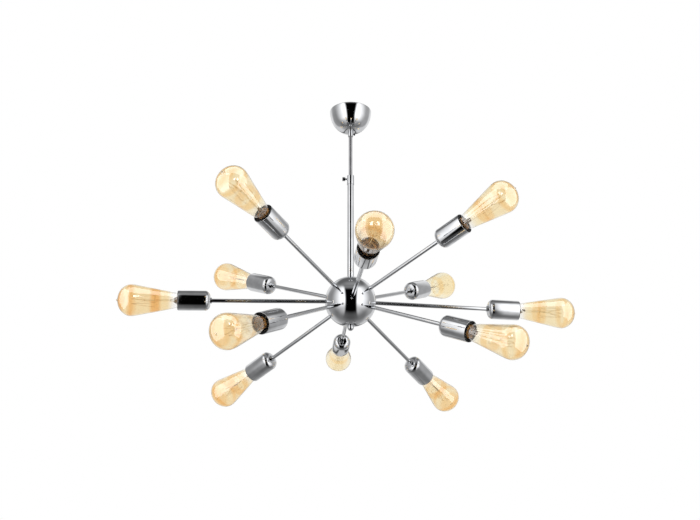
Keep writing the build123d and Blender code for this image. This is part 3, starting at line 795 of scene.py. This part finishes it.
# %% Nipple and mesh of the envelope
NIPPLE_FOOT = 3.4
NIPPLE = ((2.9, -0.15), (2.3, 0.55), (1.6, 1.3), (1.15, 2.0), (0.8, 2.45), (0.4, 2.58), (0.0, 2.6))
SOFTENINGS = 3
crown_top = BULB_WIDEST + BULB_CROWN
outside_line = [point for point in softened(envelope_side(0.0), SOFTENINGS) if point[0] > NIPPLE_FOOT]
outside_line += [(radius, crown_top + lift) for radius, lift in NIPPLE]
inside_line = softened(envelope_side(BULB_WALL), SOFTENINGS) + [(0.0, crown_top - BULB_WALL)]
envelope_mesh = turned_mesh("bulb_glass", outside_line + inside_line[::-1], 96)
heights = envelope_mesh.attributes.new("above_rim", "FLOAT", "POINT")
heights.data.foreach_set("value", [point.co.z for point in envelope_mesh.vertices])
print("envelope:", len(envelope_mesh.polygons), "faces, widest", 2 * BULB_RADIUS, "mm")

# %% [markdown]
# ## The screw cap
#
# A lamp's cap is rolled from thin brass sheet, with a round thread of about three and a half turns, a black
# glass washer below and the centre contact. The thread is a real spiral: each point's radius follows a wave
# that climbs one pitch per turn. Stacked rings would look the same from the side, but a screw made of rings
# would never go in.

# %% Screw thread
CAP_TOP, CAP_LOW, CAP_RADIUS, CAP_SHEET = -3.0, -27.0, 13.2, 0.35
PITCH, THREAD_DEPTH, THREAD_LOW, THREAD_HIGH, THREAD_FADES = 3.6, 0.75, -23.0, -7.5, 2.0
THREADED_WALL = 2.2


def between(height, low, high, fade):
    """0 up to low and from high on, 1 between them, with an even change at both ends."""
    return min(max((height - low) / fade, 0), 1) * min(max((high - height) / fade, 0), 1)


def thread(angle, radius, height):
    """How far the rolled thread moves the cap's wall inward at an angle and a height."""
    if radius < CAP_RADIUS - THREADED_WALL:
        return 0.0
    wave = 0.5 - 0.5 * math.cos(2 * math.pi * height / PITCH - angle)
    return -THREAD_DEPTH * between(height, THREAD_LOW, THREAD_HIGH, THREAD_FADES) * wave


print("thread from", THREAD_LOW, "to", THREAD_HIGH, "mm")

# %% Screw cap, washer and contact
BASE_ROUND, BASE_HEIGHT, BASE_HOLE, CAP_STEPS = 4.5, 2.5, 5.2, 60
WASHER_RADIUS, WASHER_FOOT, CONTACT_RADIUS, CONTACT_FOOT, CONTACT_LOW = 5.15, 4.6, 4.4, 2.6, -28.6

wall_height = CAP_TOP - CAP_LOW - BASE_HEIGHT
cap_heights = [CAP_TOP - wall_height * step / CAP_STEPS for step in range(CAP_STEPS + 1)]
base_centre = (CAP_RADIUS - BASE_ROUND, CAP_LOW + BASE_HEIGHT)
cap_outline = [(CAP_RADIUS, height) for height in cap_heights]
cap_outline += arc_points(base_centre, BASE_ROUND, BASE_HEIGHT, 0, -90, 8)[1:]
cap_outline += [(BASE_HOLE, CAP_LOW), (BASE_HOLE, CAP_LOW + CAP_SHEET)]
cap_outline += arc_points(base_centre, BASE_ROUND - CAP_SHEET, BASE_HEIGHT - CAP_SHEET, -90, 0, 8)[:-1]
cap_outline += [(CAP_RADIUS - CAP_SHEET, height) for height in cap_heights[::-1]]
screw_mesh = turned_mesh("screw_cap", cap_outline, 96, thread)
washer_mesh = turned_mesh("cap_washer", eased(
    [(0, CAP_LOW - 0.5), (WASHER_FOOT, CAP_LOW - 0.5), (WASHER_RADIUS, CAP_LOW + 0.4),
     (WASHER_RADIUS, CAP_LOW + 1.4), (0, CAP_LOW + 1.4)], 0.3), 48)
contact_mesh = turned_mesh("cap_contact", eased(
    [(0, CONTACT_LOW), (CONTACT_FOOT, CONTACT_LOW), (CONTACT_RADIUS, CAP_LOW - 0.55), (0, CAP_LOW - 0.55)],
    0.5), 48)
print("screw cap with a pitch of", PITCH, "mm")

# %% [markdown]
# ## Stem, cement and wires
#
# Inside the neck a glass stem carries the works: two lead wires come out of its pinched end, a glass post
# stands in the middle, and thin hooks on the post hold the long hairpins of the filament in a cage. The
# cement that holds the cap, and the brown film that the pumping leaves on the stem's foot, show through the
# clear neck as one mottled brown disc.
#
# Wires are drawn as curves with a round section and then made into meshes that all lamps share.

# %% Stem and cement
STEM_LOW, STEM_RADIUS, POST_TOP = -2.6, 4.4, 67.3
PRESS_LOW, PRESS_HIGH, PRESS_FADES, PRESS_DEPTH = 7.0, 15.0, 3.0, 0.5
foot = [(11.5, STEM_LOW), (10.8, -1.2), (8.6, 1.2), (6.4, 4.0), (5.1, 7.0), (STEM_RADIUS, 10.0)]
press_end = [(STEM_RADIUS, PRESS_HIGH - 1.0), (3.6, PRESS_HIGH), (1.5, PRESS_HIGH + 0.6)]
post = [(1.2, 20.0), (1.1, 62.0), (1.9, 63.2), (2.2, 64.6), (1.9, 66.0), (1.0, 67.0), (0.0, POST_TOP)]
stem_line = foot + press_end + post + [(0.0, STEM_LOW)]


def pinched(angle, radius, height):
    """Flattens the stem where the hot glass was pressed round the wires."""
    press = between(height, PRESS_LOW, PRESS_HIGH + PRESS_FADES, PRESS_FADES)
    return -radius * PRESS_DEPTH * press * math.cos(angle) ** 2


stem_mesh = turned_mesh("glass_stem", stem_line, 48, pinched)
cement_mesh = turned_mesh("cap_cement", eased(
    [(0, -10.8), (11.6, -10.8), (11.6, -3.1), (13.5, -1.1), (13.7, 0.5), (11.0, 1.0), (0, 1.2)], 0.4), 48)
print("stem post ends", POST_TOP, "mm above the rim")


# %% Wires and filament
def wire_mesh(name, lines, thickness):
    """Round wires along smooth lines of points in mm."""
    curve = bpy.data.curves.new(name, "CURVE")
    curve.dimensions = "3D"
    curve.bevel_depth = thickness / 2 * MM
    curve.bevel_resolution = 2
    curve.resolution_u = 6
    curve.use_fill_caps = True
    for line in lines:
        run = curve.splines.new("NURBS")
        run.points.add(len(line) - 1)
        for point, place in zip(run.points, line):
            point.co = (*(Vector(place) * MM), 1)
        run.order_u = 3
        run.use_endpoint_u = True
    holder = bpy.data.objects.new(name, curve)
    bpy.context.scene.collection.objects.link(holder)
    bpy.context.view_layer.update()
    made = bpy.data.meshes.new_from_object(holder)
    made.name = name
    bpy.data.objects.remove(holder)
    made.polygons.foreach_set("use_smooth", [True] * len(made.polygons))
    return made


def on_ring(radius, angle, height):
    """Point at an angle, in degrees, on a ring round the lamp's axis."""
    turn = math.radians(angle)
    return (radius * math.cos(turn), radius * math.sin(turn), height)


print("a hook's angle of 90 degrees points to", on_ring(1.0, 90, 0))

# %% Leads, hooks and the cage of hairpins
WIRE, FILAMENT = 0.45, 0.25
HAIRPINS = 5
LEAD_SPREAD = 4.4
UPPER_HOOK = ((0.8, 65), (4.5, 74), (8.2, 88), (8.5, 92.5), (9.3, 91.0))         # distance out, height
LOWER_HOOK = ((1.0, 46.5), (6.0, 46.0), (12.0, 46.0), (13.4, 45.6), (13.2, 47.4))
half = 180 / HAIRPINS
leads = [[(0, side * 3.2, 8), (0, side * 3.6, 15), (0, side * LEAD_SPREAD, 22), (0, side * LEAD_SPREAD, 38),
          (0, side * (LEAD_SPREAD + 1), 45), (0, side * 12.5, 46.5)] for side in (-1, 1)]
hooks, cage = [], []
for index in range(HAIRPINS):
    angle = 90 + 360 / HAIRPINS * index
    hooks.append([on_ring(radius, angle + half, height) for radius, height in UPPER_HOOK])
    hooks.append([on_ring(radius, angle, height) for radius, height in LOWER_HOOK])
    for side in (-1, 1):
        cage.append([on_ring(13.0, angle, 46.3), on_ring(13.3, angle + side * 3, 49),
                     on_ring(11.4, angle + side * half * 0.5, 70),
                     on_ring(9.0, angle + side * half * 0.9, 89), on_ring(8.5, angle + side * half, 92)])
wires_mesh = wire_mesh("lamp_wires", leads + hooks, WIRE)
filament_mesh = wire_mesh("lamp_filament", cage, FILAMENT)
print(len(leads) + len(hooks), "wires and", len(cage), "lengths of filament")

# %% [markdown]
# ## Twelve lamps
#
# All lamps have one shape, but no two sit alike: each is screwed in until it is tight, so its wires point
# another way. Each lamp is turned round its own axis by its own angle, and has its own depth of amber. Every
# part of a lamp rides on the lamp's own body, so that it comes out whole when the lamp is unscrewed.

# %% Finishes of the lamp's parts
WIRE_DARK, WIRE_BRIGHT = (0.62, 0.42, 0.17), (0.86, 0.64, 0.32)
CAP_DARK, CAP_BRIGHT = (0.55, 0.40, 0.20), (0.80, 0.64, 0.38)
wire_metal = polished("wire_metal", (600, 600, 600), 200, WIRE_DARK, WIRE_BRIGHT, 0.25, 0.4, 0.004)
carbon = moulded("carbon_filament", (0.66, 0.36, 0.12), (0.82, 0.52, 0.22), 0.45, 0.6, 0.01)
cement = moulded("brown_film", (0.09, 0.036, 0.010), (0.58, 0.30, 0.09), 0.35, 0.6, 0.05)
black_glass = moulded("washer_glass", (0.010, 0.010, 0.012), (0.018, 0.018, 0.020), 0.08, 0.15, 0.005)
cap_brass = polished("cap_brass", (200, 200, 900), 150, CAP_DARK, CAP_BRIGHT, 0.12, 0.28, 0.003)
print("five finishes for what is inside and below the glass")

# %% Place the lamps
LAMP_PARTS = (
    # part, mesh, finish, the record's material slot
    ("glass", envelope_mesh, amber_glass, "amber_glass"),
    ("stem", stem_mesh, clear_glass, "amber_glass"),
    ("wires", wires_mesh, wire_metal, "brass"),
    ("filament", filament_mesh, carbon, "brass"),
    ("cement", cement_mesh, cement, "white_nylon"),
    ("cap", screw_mesh, cap_brass, "brass"),
    ("washer", washer_mesh, black_glass, "black_moulding"),
    ("contact", contact_mesh, zinc, "zinc_steel"),
)
LAMP_TURNS = (20, 75, 130, 90, 0, 50, 110, 35, 160, 95, 60, 15)
LAMP_DIPS = (0.82, 0.56, 0.1, 1.0, 0.67, 0.0, 0.63, 0.63, 0.63, 0.74, 0.89, 0.74)
for number, ((azimuth, rise, reach), turn_by, dipped) in enumerate(zip(ARMS, LAMP_TURNS, LAMP_DIPS), 1):
    node = f"bulb_{number:02d}"
    place = arm_place(azimuth, rise, reach + CUP_LENGTH) @ Matrix.Rotation(math.radians(turn_by), 4, "Z")
    for part, mesh_data, finish, slot in LAMP_PARTS:
        if part == "glass":
            mesh_data = mesh_data.copy()
            mesh_data.transform(place)
            depth = mesh_data.attributes.new("dip", "FLOAT", "POINT")
            depth.data.foreach_set("value", [dipped] * len(mesh_data.vertices))
            piece = place_piece(f"lamp_{number:02d}_{part}", mesh_data, finish)
            glass_pieces.objects.link(piece)
            stands_for(piece, node)
            continue
        piece = place_piece(f"lamp_{number:02d}_{part}", mesh_data, finish, place)
        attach(piece, body_of(frame["nodes"][node])[0])
print("placed", len(ARMS), "lamps of", len(LAMP_PARTS), "parts")

# %% [markdown]
# ## The floor
#
# The lamp hangs high above a plain pale floor, which only the views from above can see. In a white studio
# the floor curves up into the wall and has no visible end. Here a glow that grows towards the floor's edge
# does the same, until the floor is as white as the room. The chrome doesn't mirror it: the room that the
# chrome shows is the next step, and has a floor of its own.

# %% Floor
FLOOR_LEVEL, FLOOR_RADIUS, FLOOR_THICKNESS = -2.1, 3.2, 0.02
WHITE_FROM, WHITE_FULL = 0.27, 3.04
FLOOR_DARKER, FLOOR_LIGHTER = (0.86, 0.86, 0.85), (0.90, 0.90, 0.89)
floor_edge = ((0, FLOOR_LEVEL), (FLOOR_RADIUS, FLOOR_LEVEL),
              (FLOOR_RADIUS, FLOOR_LEVEL - FLOOR_THICKNESS), (0, FLOOR_LEVEL - FLOOR_THICKNESS))
floor_mesh = turned_mesh("floor", [(radius / MM, height / MM) for radius, height in floor_edge], 128)
floor_paint, tree, paint, own = new_finish("floor_paint")
tree.links.new(mottled(tree, noise(tree, own, (3, 3, 3)), FLOOR_DARKER, FLOOR_LIGHTER),
               paint.inputs["Base Color"])
paint.inputs["Roughness"].default_value = 0.8
white = tree.nodes.new("ShaderNodeEmission")
white.inputs["Strength"].default_value = 1.0
distance = tree.nodes.new("ShaderNodeVectorMath")
distance.operation = "LENGTH"
flat = tree.nodes.new("ShaderNodeVectorMath")
flat.operation = "MULTIPLY"
flat.inputs[1].default_value = (1, 1, 0)
tree.links.new(own, flat.inputs[0])
tree.links.new(flat.outputs[0], distance.inputs[0])
fade = tree.nodes.new("ShaderNodeMixShader")
tree.links.new(ramp(tree, distance.outputs["Value"], WHITE_FROM, WHITE_FULL), fade.inputs[0])
tree.links.new(paint.outputs[0], fade.inputs[1])
tree.links.new(white.outputs[0], fade.inputs[2])
tree.links.new(fade.outputs[0], tree.nodes["Material Output"].inputs["Surface"])
floor = place_piece("floor", floor_mesh, floor_paint)
floor.visible_glossy = False
print("floor", -FLOOR_LEVEL, "m below the ceiling")

# %% [markdown]
# ## The room in the chrome
#
# Polished metal has no look of its own: it shows what stands around it. Here that is a white room with a
# bright wall of light at each side of the camera and a dark gap between them, where the camera stands. The
# gap draws the black line down the middle of every rod, and the walls make the white fields on the ball. The
# ceiling, the floor and the back of the room are greyer, so that every edge of the metal shows against white.
#
# The room could be painted on the world, but a world is endlessly far away, and then all twelve cups would
# mirror the same picture. A shell of a metre and a half round the lamp is as near as real walls are, so each
# cup sees the gap from its own side. Only mirrored rays can see the shell. Its paint follows how far a point
# lies to the right, towards the camera and upward: compass angles would all meet at the top and bottom and
# draw a fan there.

# %% Shell and its directions
ROOM_RADIUS = 1.5
GAP_MIDDLE = CAMERA_AZIMUTH + 2.0

room_paint = bpy.data.materials.new("room_paint")
room_paint.use_nodes = True
tree = room_paint.node_tree
tree.nodes.clear()
place_on_shell = tree.nodes.new("ShaderNodeTexCoord").outputs["Object"]


def along(way):
    """How far a point of the shell lies in a direction, from -1 to 1."""
    node = tree.nodes.new("ShaderNodeVectorMath")
    node.operation = "DOT_PRODUCT"
    node.inputs[1].default_value = way / ROOM_RADIUS
    tree.links.new(place_on_shell, node.inputs[0])
    return node.outputs["Value"]


right = along(direction(GAP_MIDDLE + 90, 0))
towards = along(direction(GAP_MIDDLE, 0))
upward = sum_node(tree, "DEGREES", sum_node(tree, "ARCSINE", along(Vector((0, 0, 1)))))
aside = sum_node(tree, "ABSOLUTE", right)
print("shell of", ROOM_RADIUS, "m round the ball, its dark gap at", GAP_MIDDLE, "degrees")

# %% Paint of the shell
WALL_LIGHT, SIDE_LIGHT, LEFT_LIGHT = 1.45, 0.42, 0.72
BACK_WALL_LIGHT, BACK_MIDDLE_LIGHT, HIGH_BACK_LIGHT, BACK_GAPS = 0.32, 0.16, 0.15, 0.80
CEILING_LIGHT, LOW_LIGHT, FLOOR_LIGHT, GAP_LIGHT = 0.36, 0.50, 0.60, 0.001
# Where each light starts to change and where it has changed: towards the camera,
WALLS_AHEAD, BACK_AHEAD = (-0.14, 0.70), (-0.30, -0.70)
BACK_GAPS_AHEAD, GAP_AHEAD = (-0.60, -0.85), (-0.4, 0.58)
# aside or to the right,
BACK_WALLS_ASIDE, BACK_MIDDLE_ASIDE = (0.24, 0.72), (0.12, 0.16)
BACK_GAPS_ASIDE, GAP_ASIDE, LEFT_END = (0.15, 0.21), (0.34, 0.49), (-1.0, -0.6)
# and upward, in degrees.
HIGH_BACK, CEILING, LOW_ROOM, ROOM_FLOOR, GAP_TOP = (12, 30), (44, 60), (-42, -14), (-88, -50), (36, 82)


def product(*factors):
    """Values multiplied with each other."""
    total = factors[0]
    for factor in factors[1:]:
        total = sum_node(tree, "MULTIPLY", total, factor)
    return total


walls = ramp(tree, towards, *WALLS_AHEAD, SIDE_LIGHT, WALL_LIGHT)
back = product(inside(tree, aside, *BACK_WALLS_ASIDE, 0.06), BACK_WALL_LIGHT)
back = sum_node(tree, "ADD", back, ramp(tree, aside, *BACK_MIDDLE_ASIDE, BACK_MIDDLE_LIGHT, 0.0))
back = sum_node(tree, "ADD", back, ramp(tree, upward, *HIGH_BACK, 0.0, HIGH_BACK_LIGHT))
back = product(ramp(tree, towards, *BACK_AHEAD), back)
back_gaps = product(ramp(tree, towards, *BACK_GAPS_AHEAD), inside(tree, aside, *BACK_GAPS_ASIDE, 0.025),
                    BACK_GAPS)
room = product(sum_node(tree, "ADD", walls, back), sum_node(tree, "SUBTRACT", 1.0, back_gaps),
               ramp(tree, right, *LEFT_END, LEFT_LIGHT, 1.0),
               ramp(tree, upward, *CEILING, 1.0, CEILING_LIGHT),
               ramp(tree, upward, *LOW_ROOM, LOW_LIGHT, 1.0),
               ramp(tree, upward, *ROOM_FLOOR, FLOOR_LIGHT, 1.0))
gap = product(ramp(tree, aside, *GAP_ASIDE, 1.0, 0.0), ramp(tree, upward, *GAP_TOP, 1.0, 0.0),
              ramp(tree, towards, *GAP_AHEAD))
outside_gap = sum_node(tree, "SUBTRACT", 1.0, gap)
brightness = sum_node(tree, "ADD", product(room, outside_gap), product(gap, GAP_LIGHT))
glow = tree.nodes.new("ShaderNodeEmission")
tree.links.new(brightness, glow.inputs["Strength"])
tree.links.new(glow.outputs[0], tree.nodes.new("ShaderNodeOutputMaterial").inputs["Surface"])
room_paint.cycles.emission_sampling = "NONE"
shell_line = arc_points((0, 0), ROOM_RADIUS / MM, ROOM_RADIUS / MM, -90, 90, 64)
shell_line = [(0.0, -ROOM_RADIUS / MM), *shell_line[1:-1], (0.0, ROOM_RADIUS / MM)]
shell = place_piece("mirrored_room", turned_mesh("mirrored_room", shell_line, 128), room_paint, at_hub)
shell.visible_camera = shell.visible_diffuse = shell.visible_transmission = shell.visible_shadow = False
print("walls of light", WALL_LIGHT, "times as bright as the background")
